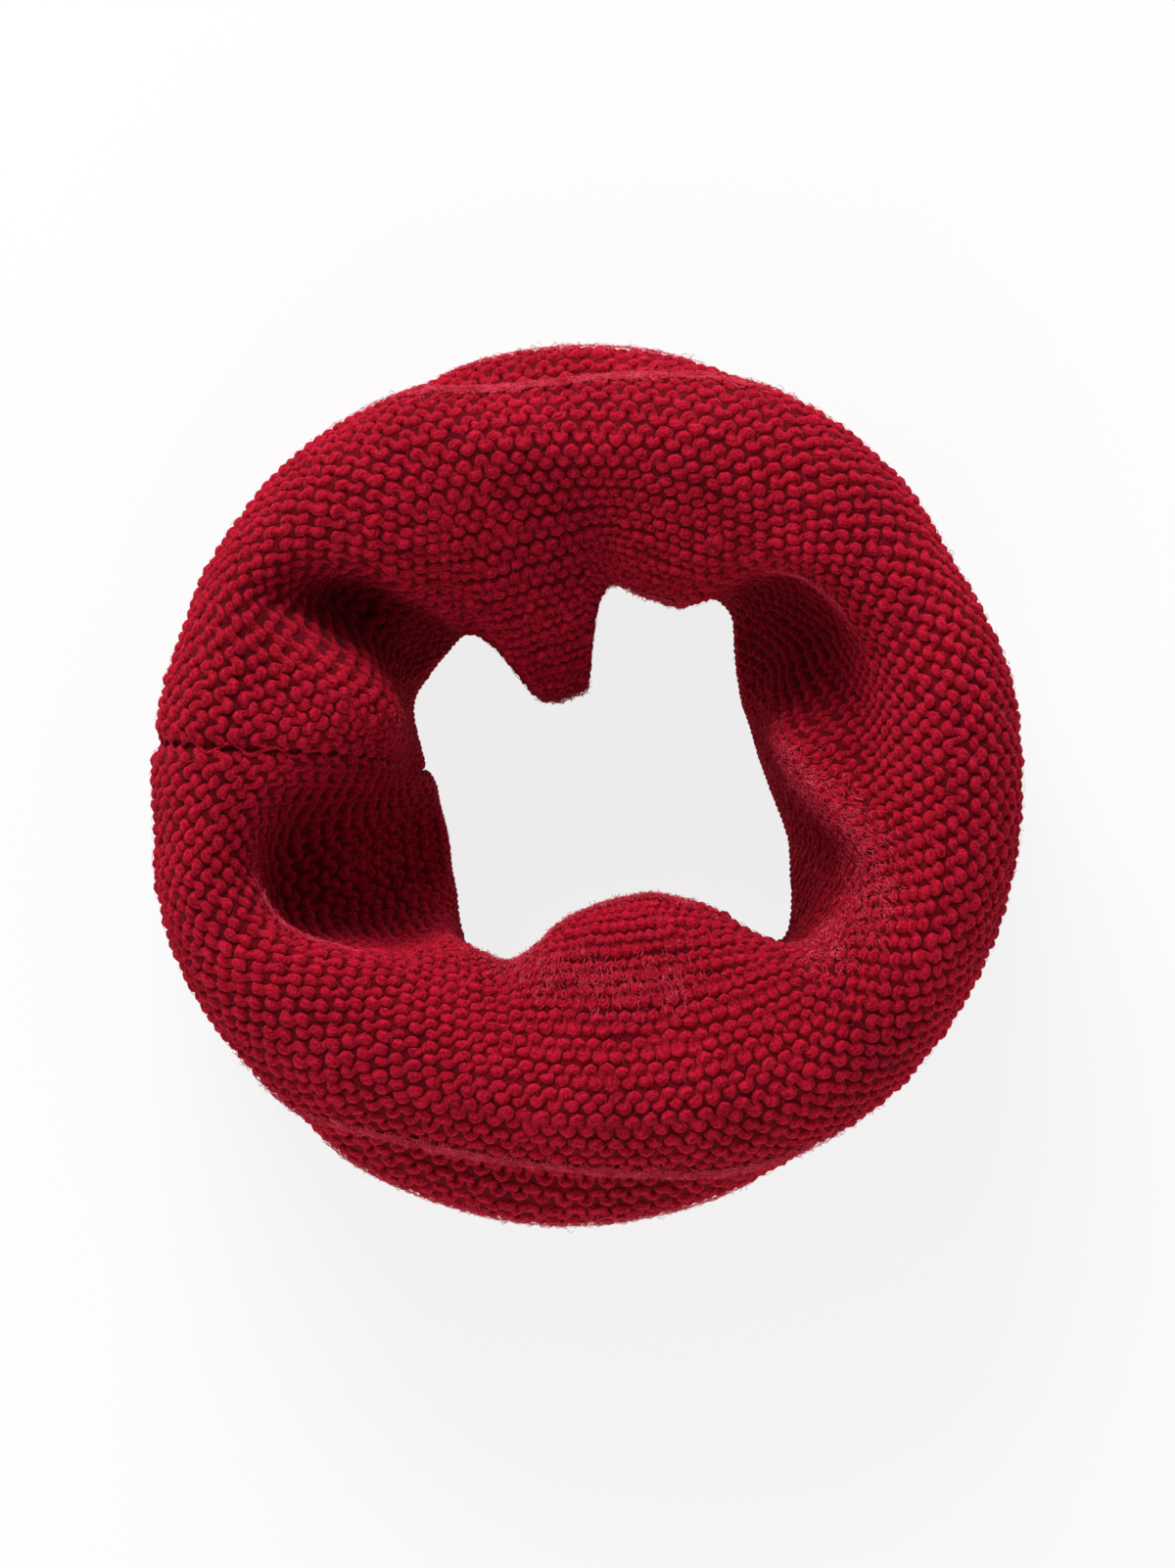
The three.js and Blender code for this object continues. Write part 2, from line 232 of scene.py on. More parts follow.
def gather_turn(angle):
    """The turn, in degrees, that spreads a section's inner end along the inner hem."""
    steps = 720
    step = 360 / steps
    a = JOIN_AT + np.arange(steps) * step
    apart = place(inside["hem"](a + step), a + step, 0.0) - place(inside["hem"](a), a, 0.0)
    lengths = np.linalg.norm(apart, axis=1)
    even = lengths / lengths.sum() * 360
    stitched = np.append(0, np.cumsum(GATHER_SHARE * even + (1 - GATHER_SHARE) * step))
    along = np.mod(angle - JOIN_AT, 360)
    return np.interp(along, stitched, np.arange(steps + 1) * step) - along


def section_points(angle):
    """Named points of the sections at these angles, from the outer hem over the crown to the inner hem."""
    reach, roll = outside["reach"](angle), outside["roll"](angle)
    crown, height = outside["crown"](angle), outside["height"](angle)
    slouch = reach - roll
    shoulder = roll - SHOULDER_IN
    turn = gather_turn(angle)
    rim_at, trough_at, inner = angle + RIM_TURN * turn, angle + TROUGH_TURN * turn, angle + turn
    hem, crest, crest_z = inside["hem"](inner), inside["crest"](inner), inside["crestZ"](inner)
    floor = angle * 0.0
    return np.stack(
        [
            place(reach - HEM_IN, angle, floor),
            place(reach - HEM_IN / 2, angle, floor + FOOT_Z),
            place(reach - BELLY_IN, angle, floor + BELLY_Z),
            place(reach - BELLY_IN - SWELL_SHARE * slouch, angle, floor + SWELL_Z),
            place(roll - TUCK_IN - TUCK_SHARE * slouch, angle, TUCK_Z + ROLL_LIFT * slouch),
            place(roll, angle, ROLL_Z + ROLL_LIFT * slouch),
            place(shoulder, angle, SHOULDER_Z + SHOULDER_LIFT * slouch),
            place(crown + BROW_SHARE * (shoulder - crown), angle, height - BROW_DROP),
            place(crown, angle, height),
            place(inside["rim"](rim_at), rim_at, inside["rimZ"](rim_at)),
            place(inside["trough"](trough_at), trough_at, inside["troughZ"](trough_at)),
            place(crest, inner, crest_z),
            place(hem + FALL_SHARE * (crest - hem), inner, FALL_LEVEL * crest_z),
            place(hem, inner, floor + FOOT_Z),
            place(hem, inner, floor),
        ],
        1,
    )


CROWN_POINT = 8  # place of the crown among the named points
print("points in a section:", section_points(np.array([0.0])).shape[1])

# %% [markdown]
# ## The face of the cloth as one smooth sheet
#
# Through each section's points goes a curve, and points are spaced evenly along it, because the rows of
# knitting are evenly wide. Thick cloth takes no sharp fold, so the whole net of points is eased a little
# towards its neighbours. The net is then centred on the frame, just as the solids are.

# %% The net of the face
SECTIONS = 180  # sections round the ring
UP, DOWN = 36, 34  # steps of the net from the outer hem to the crown, and from there to the inner hem
SPAN_SAMPLES = 16
RELAX_TIMES = 2


def curve_through(points):
    """A dense smooth curve through each section's points, by centripetal Catmull-Rom spans."""
    first, last = 2 * points[:, :1] - points[:, 1:2], 2 * points[:, -1:] - points[:, -2:-1]
    p = np.concatenate([first, points, last], 1)
    knots = np.linalg.norm(np.diff(p, axis=1), axis=2)[..., None] ** 0.5
    d0, d1, d2 = knots[:, :-2], knots[:, 1:-1], knots[:, 2:]
    p0, p1, p2, p3 = p[:, :-3], p[:, 1:-2], p[:, 2:-1], p[:, 3:]
    leave = ((p1 - p0) / d0 - (p2 - p0) / (d0 + d1) + (p2 - p1) / d1) * d1
    arrive = ((p2 - p1) / d1 - (p3 - p1) / (d1 + d2) + (p3 - p2) / d2) * d1
    spans = []
    for x in np.arange(SPAN_SAMPLES) / SPAN_SAMPLES:
        ease = (2 * x**3 - 3 * x**2 + 1) * p1 + (3 * x**2 - 2 * x**3) * p2
        spans.append(ease + (x**3 - 2 * x**2 + x) * leave + (x**3 - x**2) * arrive)
    dense = np.stack(spans, 2).reshape(len(points), -1, 3)
    return np.concatenate([dense, points[:, -1:]], 1)


def spaced(dense, count):
    """Points evenly spaced by length along each dense curve."""
    steps = np.linalg.norm(np.diff(dense, axis=1), axis=2)
    lengths = np.concatenate([np.zeros((len(dense), 1)), np.cumsum(steps, 1)], 1)
    even = np.empty((len(dense), count + 1, 3))
    for line, length, target in zip(dense, lengths, even):
        wanted = np.linspace(0, length[-1], count + 1)
        target[:] = np.stack([np.interp(wanted, length, line[:, c]) for c in range(3)], 1)
    return even


def relaxed(net):
    """The net with each point eased towards its neighbours, the hems staying on the floor."""
    target = (np.roll(net, 1, 0) + np.roll(net, -1, 0)) / 2
    across = (net[:, 2:] + net[:, :-2]) / 2
    target[:, 1:-1] = (target[:, 1:-1] + across) / 2
    return (net + target) / 2


angles = JOIN_AT + 360 * np.arange(SECTIONS) / SECTIONS
curves = curve_through(section_points(angles))
crown_sample = CROWN_POINT * SPAN_SAMPLES
rising, falling = spaced(curves[:, : crown_sample + 1], UP), spaced(curves[:, crown_sample:], DOWN)
face_net = np.concatenate([rising, falling[:, 1:]], 1)
for _ in range(RELAX_TIMES):
    face_net = relaxed(face_net)

net_low, net_high = face_net.reshape(-1, 3).min(0), face_net.reshape(-1, 3).max(0)
shift = (np.array(frame_low) + np.array(frame_high)) / 2 / MM - (net_low + net_high) / 2
shift[2] = 0.0
face_net += shift
print("face, mm:", np.round(net_high - net_low, 1), "moved by", np.round(shift, 2))

# %% [markdown]
# ## Finding any point of the cloth
#
# Everything that follows is placed in the strip's own terms: how many stitches from the join, and how many
# ridges from the outer hem. This class reads the net smoothly at such places and gives the point there and
# the direction out of the cloth. Beside the join the cloth sinks, because the sewing pulls it in.

# %% Places on the cloth
STITCHES = 118  # counted round the ring
RIDGES_OUT, RIDGES_IN = 17, 20  # ridges from the outer hem to the crown, and from there to the inner hem
RIDGES = RIDGES_OUT + RIDGES_IN
JOIN_SINK = 1.7  # how far the sewing pulls the face in
JOIN_REACH = 0.32  # stitches either side of the join over which it does


def spline_weights(t):
    """Catmull-Rom weights of four neighbours for a place t between the middle two."""
    return (
        0.5 * (-t + 2 * t**2 - t**3),
        0.5 * (2 - 5 * t**2 + 3 * t**3),
        0.5 * (t + 4 * t**2 - 3 * t**3),
        0.5 * (t**3 - t**2),
    )


class Cloth:
    """A net of points or directions, read smoothly at any stitch and ridge."""

    def __init__(self, net):
        first, last = 2 * net[:, :1] - net[:, 1:2], 2 * net[:, -1:] - net[:, -2:-1]
        self.net = np.concatenate([first, net, last], 1)

    def read(self, stitch, ridge):
        column_at = np.mod(stitch / STITCHES, 1) * SECTIONS
        inner = np.clip(ridge - RIDGES_OUT, 0, None) * DOWN / RIDGES_IN
        row_at = np.clip(ridge, None, RIDGES_OUT) * UP / RIDGES_OUT + inner
        row_at = np.clip(row_at, 0, UP + DOWN)
        i = np.floor(column_at).astype(int)
        j = np.minimum(np.floor(row_at).astype(int), UP + DOWN - 1)
        found = 0
        for a, wa in enumerate(spline_weights(column_at - i)):
            for b, wb in enumerate(spline_weights(row_at - j)):
                found = found + (wa * wb)[..., None] * self.net[(i + a - 1) % SECTIONS, j + b]
        return found


def unit(vectors):
    """The same directions, each of length one."""
    return vectors / np.linalg.norm(vectors, axis=-1, keepdims=True)


def net_normals(net):
    """Directions out of the cloth at the net's points, eased so that they turn gently in tight folds."""
    along = np.roll(net, -1, 0) - np.roll(net, 1, 0)
    across = np.gradient(net, axis=1)
    out = np.cross(along, across)
    out[:, [0, -1], 2] = 0
    out = unit(out)
    for _ in range(4):
        eased = out + 0.5 * (np.roll(out, 1, 0) + np.roll(out, -1, 0))
        eased[:, 1:-1] += 0.5 * (eased[:, 2:] + eased[:, :-2])
        out = unit(eased)
    return out


face = Cloth(face_net)
outward = Cloth(net_normals(face_net))


def join_distance(stitch):
    """How many stitches a place is from the join, along the strip."""
    d = np.mod(stitch, STITCHES)
    return np.minimum(d, STITCHES - d)


def cloth_point(stitch, ridge, height):
    """The point this many millimetres above the cloth's face, and the direction out of the cloth there."""
    stitch, ridge, height = np.broadcast_arrays(stitch, ridge, height)
    normal = unit(outward.read(stitch, ridge))
    sink = JOIN_SINK * np.exp(-((join_distance(stitch) / JOIN_REACH) ** 2))
    return face.read(stitch, ridge) + normal * (height - sink)[..., None], normal


middle = cloth_point(np.arange(STITCHES) * 1.0, 12.0, 0.0)[0]
pitch = np.linalg.norm(np.diff(middle, axis=0), axis=1).mean()
print("stitch pitch at the roll, mm:", round(pitch, 2))

# %% [markdown]
# ## Making meshes
#
# Blender makes large meshes quickly when it gets whole arrays. One helper takes points and four-cornered
# faces, and stores what a material needs beside them: a map in which the finished piece can be painted,
# and one map of the yarn, which gives the distance along it and the turn round it.


# %% A mesh from arrays
def mesh_piece(name, points, quads, paint=None, yarn=None, material=None):
    """A piece from points in millimetres and faces of four corners, with its maps given for each point."""
    mesh = bpy.data.meshes.new(name)
    points, quads = np.asarray(points, np.float32) * MM, np.asarray(quads, np.int32)
    mesh.vertices.add(len(points))
    mesh.vertices.foreach_set("co", points.ravel())
    mesh.loops.add(quads.size)
    mesh.loops.foreach_set("vertex_index", quads.ravel())
    mesh.polygons.add(len(quads))
    mesh.polygons.foreach_set("loop_start", np.arange(len(quads), dtype=np.int32) * 4)
    mesh.polygons.foreach_set("use_smooth", np.ones(len(quads), bool))
    mesh.update(calc_edges=True)
    for map_name, places in (("OFBake", paint), ("yarn", yarn)):
        if places is not None:
            layer = mesh.uv_layers.new(name=map_name)
            layer.data.foreach_set("uv", np.asarray(places, np.float32).reshape(-1))
    mesh.validate()
    piece = bpy.data.objects.new(name, mesh)
    bpy.context.scene.collection.objects.link(piece)
    if material:
        mesh.materials.append(material)
    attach(piece, "root")
    print(f"{name}: {2 * len(quads)} triangles")
    return piece


# %% [markdown]
# ## Shader maths in plain expressions
#
# A material is a small calculation. Written as nodes by hand it is long, so this class wraps a socket and
# lets us write sums and products of sockets as they are on paper.


# %% A socket that can be reckoned with
class Wire:
    """A value socket in a material. Sums and products of wires add the Math nodes."""

    def __init__(self, nodes, socket=None):
        self.nodes, self.socket = nodes, socket

    def node(self, kind, settings=None, **inputs):
        """A node of any type: its settings first, then its inputs by name, with _ for a space."""
        made = self.nodes.new(kind)
        for key, value in (settings or {}).items():
            if key == "stops":
                ramp = made.color_ramp.elements
                while len(ramp) < len(value):
                    ramp.new(1.0)
                for stop, (position, shade) in zip(ramp, value):
                    stop.position, stop.color = position, (*shade, 1.0)
            else:
                setattr(made, key, value)
        for key, value in inputs.items():
            feed(self.nodes, made.inputs[key.replace("_", " ")], value)
        return made

    def math(self, operation, *others):
        made = self.node("ShaderNodeMath", {"operation": operation})
        for place_in, value in zip(made.inputs, (self, *others)):
            feed(self.nodes, place_in, value)
        return Wire(self.nodes, made.outputs[0])

    def __add__(self, other):
        return self.math("ADD", other)

    def __sub__(self, other):
        return self.math("SUBTRACT", other)

    def __rsub__(self, other):
        return Wire(self.nodes, other).math("SUBTRACT", self)

    def __mul__(self, other):
        return self.math("MULTIPLY", other)

    __radd__ = __add__
    __rmul__ = __mul__


def feed(nodes, place_in, value):
    """Gives an input socket a wire, a socket or a plain number or colour."""
    value = value.socket if isinstance(value, Wire) else value
    if isinstance(value, bpy.types.NodeSocket):
        nodes.id_data.links.new(value, place_in)
    elif value is not None:
        place_in.default_value = value


def wire(node, output=0):
    """One output of a node, ready for sums."""
    return Wire(node.id_data.nodes, node.outputs[output])


def clean_material(name):
    """A new material, a wire that nodes can be added with, and its Principled shader."""
    material = bpy.data.materials.new(name)
    material.use_nodes = True
    nodes = material.node_tree.nodes
    return material, Wire(nodes), nodes["Principled BSDF"]


def set_constants(shader, values):
    """Sets sockets of a shader that stay the same all over the surface."""
    for name, value in values.items():
        shader.inputs[name].default_value = value


# %% [markdown]
# ## The wool
#
# Thick wool yarn is several plies twisted tightly together, each a bundle of crimped fibres. Its colour
# isn't even, partly by painted light: the tops of the plies are painted lighter, with painted shade in the
# grooves between them and the core of each stitch, and the dye itself varies a little. In the deep hollows
# painted shade darkens the wool again: the tone falls where little of the sky is open. Twist and fibres are
# too fine for the mesh, so a bump gives them, and a little sheen stands for the softness of the edge.

# %% The yarn's material
# The middle tone is the wool's own; the lit tone is painted light and the darker ones are painted shade
CRIMSON = (0.34, 0.0032, 0.0165)
CRIMSON_LIT = (0.5, 0.0085, 0.032)
CRIMSON_SHADE = (0.2, 0.0018, 0.0085)
CRIMSON_DARK_SHADE = (0.08, 0.0009, 0.0038)
PATCH_GRAIN, FIBRE_GRAIN = 45.0, 1500.0  # patches of dye and single fibres, to the metre
PLY_RISE = 6.5  # millimetres along the yarn for one ply's turn
PLIES = 4
STRANDS_ROUND = 16.0  # bundles of fibres round the yarn
STRAND_STRETCH = 0.4
PLY_RELIEF, STRAND_RELIEF, FIBRE_RELIEF = 0.3, 1.2, 0.8
# Tones that rise with the relief paint light on the tops and shade in the grooves; PATCH_TONE is the dye's
# random variation
PLY_TONE, STRAND_TONE, FIBRE_TONE, PATCH_TONE, TONE_DROP = 0.15, 1.0, 1.2, 0.4, 0.86
GROUND_FIBRE_TONE, GROUND_PATCH_TONE, GROUND_TONE_DROP = 0.4, 0.5, 0.08
TONE_STOPS = (0.3, 0.52, 0.8)  # tones at which the wool is in painted shade, middling and painted lit
# Painted shade in the hollows: the wool's tone is lowered where cloth near by hides the sky
SKY_REACH = 0.03  # metres within which cloth hides the sky
OPEN_SKY = 0.6  # share of the sky below which painted shade darkens the wool
HOLLOW_PAINTED_SHADE = 1.0
BUMP_STRENGTH, BUMP_DISTANCE = 0.7, 0.0004
WOOL_SHADER = {
    "Roughness": 0.92,
    "Specular IOR Level": 0.05,
    "Subsurface Weight": 0.45,
    "Subsurface Radius": (1.0, 0.25, 0.3),
    "Subsurface Scale": 0.0011,
    "Sheen Weight": 0.12,
    "Sheen Roughness": 0.6,
    "Sheen Tint": (1.0, 0.14, 0.22, 1.0),
}


def wool_material(name, lit, middling, shaded, twisted=True):
    """Wool in three tones, from painted shade to painted lit. Where it is yarn, its plies and strands wind
    along the map of the yarn.
    """
    material, board, shader = clean_material(name)
    here = board.node("ShaderNodeTexCoord").outputs["Object"]
    patches = wire(board.node("ShaderNodeTexNoise", Vector=here, Scale=PATCH_GRAIN, Detail=3.0))
    fibres = wire(board.node("ShaderNodeTexNoise", Vector=here, Scale=FIBRE_GRAIN, Detail=2.0))
    relief = fibres
    if twisted:
        yarn = board.node("ShaderNodeUVMap", {"uv_map": "yarn"}).outputs[0]
        split = board.node("ShaderNodeSeparateXYZ", Vector=yarn)
        along, turned = wire(split, 0), wire(split, 1)
        wound = along * (1 / PLY_RISE) + turned
        ply = (wound * (PLIES * math.pi)).math("SINE").math("ABSOLUTE")
        lay = board.node("ShaderNodeCombineXYZ", X=along * STRAND_STRETCH, Y=wound * STRANDS_ROUND)
        strands = wire(board.node("ShaderNodeTexNoise", Vector=lay.outputs[0], Scale=1.0, Detail=2.0))
        relief = ply * PLY_RELIEF + strands * STRAND_RELIEF + fibres * FIBRE_RELIEF
        # This tone follows the relief: painted light on the tops of plies, strands and fibres, painted
        # shade in their grooves
        relief_light_tone = ply * PLY_TONE + strands * STRAND_TONE + fibres * FIBRE_TONE
        tone = relief_light_tone + patches * PATCH_TONE - TONE_DROP
    else:
        # The ground's tone rises with its fibres' relief, as painted light, beside the dye's random patches
        tone = fibres * GROUND_FIBRE_TONE + patches * GROUND_PATCH_TONE - GROUND_TONE_DROP
    # Painted shade: the tone falls where little of the sky is open, so the hollows come out darker
    sky = wire(board.node("ShaderNodeAmbientOcclusion", {"samples": 4}, Distance=SKY_REACH), 1)
    tone = tone - (OPEN_SKY - sky).math("MAXIMUM", 0.0) * HOLLOW_PAINTED_SHADE
    stops = list(zip(TONE_STOPS, (shaded, middling, lit)))
    ramp = board.node("ShaderNodeValToRGB", {"stops": stops}, Fac=tone)
    feed(board.nodes, shader.inputs["Base Color"], ramp.outputs[0])
    bump = board.node("ShaderNodeBump", Height=relief, Strength=BUMP_STRENGTH, Distance=BUMP_DISTANCE)
    feed(board.nodes, shader.inputs["Normal"], bump.outputs[0])
    set_constants(shader, WOOL_SHADER)
    return material


yarn_wool = wool_material("crimson_yarn", CRIMSON_LIT, CRIMSON, CRIMSON_SHADE)
# The ground is the same wool painted one tone darker: painted shade for the legs in the shadow between the
# ridges
shaded_ground_wool = wool_material("crimson_ground_painted_shade", CRIMSON, CRIMSON_SHADE, CRIMSON_DARK_SHADE, twisted=False)
print("materials:", yarn_wool.name, shaded_ground_wool.name)

# %% [markdown]
# ## The ground of the cloth
#
# Behind the ridges lie the legs of the stitches, in the shadow between them. This ground is a closed thin
# shell under the face, from hem to hem. Its front rises a little between the ridges, so that no deep slit
# opens there. It stands for both solids of the frame, and laid flat it would be 620 by 205 mm.

# %% The ground shell
CLOTH = 3.2  # thickness of the knitted wall
GROUND_DEPTH = 1.2  # how far the ground's front lies below the face
GROUND_AROUND, GROUND_ACROSS = 4, 2  # cells of the ground for each stitch and each ridge
GROUND_RISE = 0.35  # how far it rises between the ridges and sinks behind them
MAP_FRONT, MAP_REAR = (0.0, 0.62), (0.64, 0.32)  # start and height of each side's strip of the map
MAP_LOW_HEM, MAP_TOP_HEM = (0.965, 0.012), (0.982, 0.012)


def ground_points():
    """Front and rear points of the shell, each from hem to hem and then round."""
    u = np.linspace(0, STITCHES, STITCHES * GROUND_AROUND + 1)[:-1, None]
    v = np.linspace(0, RIDGES, RIDGES * GROUND_ACROSS + 1)[None, :]
    front, _ = cloth_point(u, v, GROUND_RISE * np.cos(math.tau * v) + 0 * u - GROUND_DEPTH)
    rear, _ = cloth_point(u, v, -CLOTH)
    return np.concatenate([front.reshape(-1, 3), rear.reshape(-1, 3)])


def ground_faces(around, across):
    """Faces of the shell's front, rear, lower hem and upper hem."""
    size = around * (across + 1)
    i, j = np.meshgrid(np.arange(around), np.arange(across), indexing="ij")
    a, b = i * (across + 1) + j, (i + 1) % around * (across + 1) + j
    c, d = b + 1, a + 1
    front = np.stack([a, b, c, d], -1).reshape(-1, 4)
    rear = np.stack([a, d, c, b], -1).reshape(-1, 4) + size
    k = np.arange(around)
    low, low_next = k * (across + 1), (k + 1) % around * (across + 1)
    top, top_next = low + across, low_next + across
    low_hem = np.stack([low, low + size, low_next + size, low_next], -1)
    top_hem = np.stack([top, top_next, top_next + size, top + size], -1)
    return np.concatenate([front, rear, low_hem, top_hem])


def ground_map(around, across):
    """Places of the faces' corners in the map, one strip for each side."""

    def cells(columns, rows, strip):
        i, j = np.meshgrid(np.arange(columns), np.arange(rows), indexing="ij")
        x0, x1 = i / columns, (i + 1) / columns
        y0, y1 = strip[0] + strip[1] * j / rows, strip[0] + strip[1] * (j + 1) / rows
        return x0, x1, y0, y1

    x0, x1, y0, y1 = cells(around, across, MAP_FRONT)
    places = [np.stack([x0, y0, x1, y0, x1, y1, x0, y1], -1).reshape(-1, 4, 2)]
    for rows, strip in ((across, MAP_REAR), (1, MAP_LOW_HEM)):
        x0, x1, y0, y1 = cells(around, rows, strip)
        places.append(np.stack([x0, y0, x0, y1, x1, y1, x1, y0], -1).reshape(-1, 4, 2))
    x0, x1, y0, y1 = cells(around, 1, MAP_TOP_HEM)
    places.append(np.stack([x0, y0, x1, y0, x1, y1, x0, y1], -1).reshape(-1, 4, 2))
    return np.concatenate(places)


ground_cells = (STITCHES * GROUND_AROUND, RIDGES * GROUND_ACROSS)
ground = mesh_piece(
    "ground_cloth",
    ground_points(),
    ground_faces(*ground_cells),
    paint=ground_map(*ground_cells),
    material=shaded_ground_wool,
)
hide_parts("outer_layer", "inner_layer")

# %% [markdown]
# ## The ridges of garter stitch
#
# In garter stitch each ridge shows one thread that runs in waves: an arch over, a leg down, a cup under,
# a leg up. The arches and cups stand proud as fat beads and the legs dip between them. It could be a
# picture of a bump, but the beads make the outline and the shadows, so each ridge is a real tube along
# such a wave, drawn a little unevenly, as hands knit. The back of the tube would lie unseen in the ground,
# so it is left out, which saves two faces in five.

# %% Waves of yarn
BEAD_HALF = 1.42  # half the thickness of the yarn where it stands proud
LEG_HALF = 1.1
WAVE_SHARE = 0.26  # height of an arch above the ridge's middle, in ridge widths
BEAD_HEIGHT = -1.2  # of the yarn's core above the face
LEG_DIP = 0.65  # how far the legs dip between the beads
BEAD_STRETCH = 0.3  # how much further the yarn runs along the ridge in a bead than in a leg
RIDGE_PITCH = 5.5  # usual width of a ridge
LEAST_THICK, MOST_THICK = 0.85, 1.15  # how far the yarn thins or swells with the ridges
TUBE_ARC = 216  # degrees of the tube that show
LUMPS = 0.05  # how uneven the yarn's thickness is
SHIFT_ALONG, SHIFT_ACROSS = 0.04, 0.035  # how unevenly the beads lie, in stitches and ridge widths
ARCH_UNEVEN, HEIGHT_UNEVEN, THICK_UNEVEN = 0.12, 0.16, 0.06
SEAM_END = 0.2  # stitches between the join and the end of each ridge
SEAM_SLIP = 0.24  # how far the ridges miss each other at the join, in ridge widths
SEAM_SLIP_REACH = 3  # stitches over which they do
SEAM_DIP, SEAM_DIP_REACH = 1.3, 0.35  # the yarn's ends dip there, over so many stitches
UNEVEN = np.random.default_rng(118)


def ridge_pitch(u, v):
    """How thick the yarn lies where the ridges are spread, against its thickness at the usual pitch."""
    above, _ = cloth_point(u, np.minimum(v + 0.5, RIDGES), 0)
    below, _ = cloth_point(u, np.maximum(v - 0.5, 0), 0)
    return np.clip(np.linalg.norm(above - below, axis=-1) / RIDGE_PITCH, LEAST_THICK, MOST_THICK)


def beads(ridge):
    """One ridge's beads: places in stitches and ridges, heights and half thickness in millimetres."""
    count = 2 * STITCHES
    side = np.where(np.arange(count) % 2 == 0, -1.0, 1.0)
    jitter = UNEVEN.normal(0, 1, (5, count))
    u = (np.arange(count) + 0.5) / 2 + SHIFT_ALONG * jitter[0]
    v = ridge + 0.5 + side * WAVE_SHARE * (1 + ARCH_UNEVEN * jitter[1]) + SHIFT_ACROSS * jitter[2]
    height = BEAD_HEIGHT + HEIGHT_UNEVEN * jitter[3]
    half = BEAD_HALF * (1 + THICK_UNEVEN * jitter[4])
    u[0], u[-1] = max(u[0], SEAM_END), min(u[-1], STITCHES - SEAM_END)
    return u, v, height, half


def ridge_path(ridge, steps):
    """Core points of one ridge's yarn, in the terms of its beads, with steps between two of them."""
    places = beads(ridge)
    t = np.arange(steps) / steps
    ease = t**3 * (t * (6 * t - 15) + 10)
    dip = np.sin(math.pi * t) ** 2
    stretched = t + BEAD_STRETCH * np.sin(math.tau * t) / math.tau
    sags = (0, 0, -LEG_DIP, LEG_HALF - BEAD_HALF)
    path = []
    for values, share, sag in zip(places, (stretched, ease, ease, ease), sags):
        line = values[:-1, None] * (1 - share) + values[1:, None] * share + sag * dip
        path.append(np.append(line.ravel(), values[-1]))
    u, v, h, r = path
    d = join_distance(u)
    v = v + np.where(u < STITCHES / 2, 1, -1) * SEAM_SLIP * np.exp(-((d / SEAM_SLIP_REACH) ** 2))
    h = h - SEAM_DIP * np.exp(-((d / SEAM_DIP_REACH) ** 2))
    return u, v, h, r * ridge_pitch(u, v)


def tube(core, normal, half, spans, arc):
    """Rings of points round a core line, over an arc of so many degrees about the way out of the cloth."""
    along = unit(np.gradient(core, axis=0))
    across = unit(np.cross(along, normal))
    out = np.cross(across, along)
    turn = np.radians(np.linspace(-arc / 2, arc / 2, spans + 1))[: spans + (arc < 360)]
    ring = np.cos(turn)[None, :, None] * out[:, None] + np.sin(turn)[None, :, None] * across[:, None]
    rough = 1 + LUMPS * UNEVEN.normal(0, 1, (len(core), len(turn)))
    return core[:, None] + ring * (half[:, None] * rough)[..., None]


def tube_faces(rings, spans, arc):
    """Faces between the rings of a tube, which is closed all round where its arc is 360 degrees."""
    wide = spans + (arc < 360)
    i, j = np.meshgrid(np.arange(rings - 1), np.arange(spans), indexing="ij")
    a, b = i * wide + j, i * wide + (j + 1) % wide
    return np.stack([a, b, b + wide, a + wide], -1).reshape(-1, 4)


def cap_faces(sides, ring, flip):
    """An even-sided ring closed with four-cornered faces."""
    base = ring * sides
    fan = [(base, base + k, base + k + 1, base + k + 2) for k in range(1, sides - 2, 2)]
    return np.array([f[::-1] if flip else f for f in fan])


MAP_LANES = 90  # faces along a strand to one lane of the map, for each strand
MAP_SHARE, MAP_CAPS = 0.985, 0.992  # part of the map that the strands fill, and where their ends lie
LANE_GAP = 0.04


def strand_maps(core, spans, arc, strand, folds, lanes):
    """Corners of a strand's faces in the map for painting and in the map of the yarn."""
    rings = len(core)
    length = np.append(0, np.cumsum(np.linalg.norm(np.diff(core, axis=0), axis=1)))
    i, j = np.meshgrid(np.arange(rings - 1), np.arange(spans), indexing="ij")
    s0, s1 = length[i], length[i + 1]
    t0, t1 = j / spans, (j + 1) / spans
    r0, r1 = t0 * arc / 360, t1 * arc / 360
    yarn = np.stack([s0, r0, s0, r1, s1, r1, s1, r0], -1).reshape(-1, 4, 2)
    per_fold = int(math.ceil((rings - 1) / folds))
    lane = strand * folds + i // per_fold + LANE_GAP
    x0, x1 = (i % per_fold) / per_fold, (i % per_fold + 1) / per_fold
    y0, y1 = ((lane + (1 - 2 * LANE_GAP) * t) / lanes for t in (t0, t1))
    paint = np.stack([x0, y0, x0, y1, x1, y1, x1, y0], -1).reshape(-1, 4, 2)
    return paint * MAP_SHARE, yarn


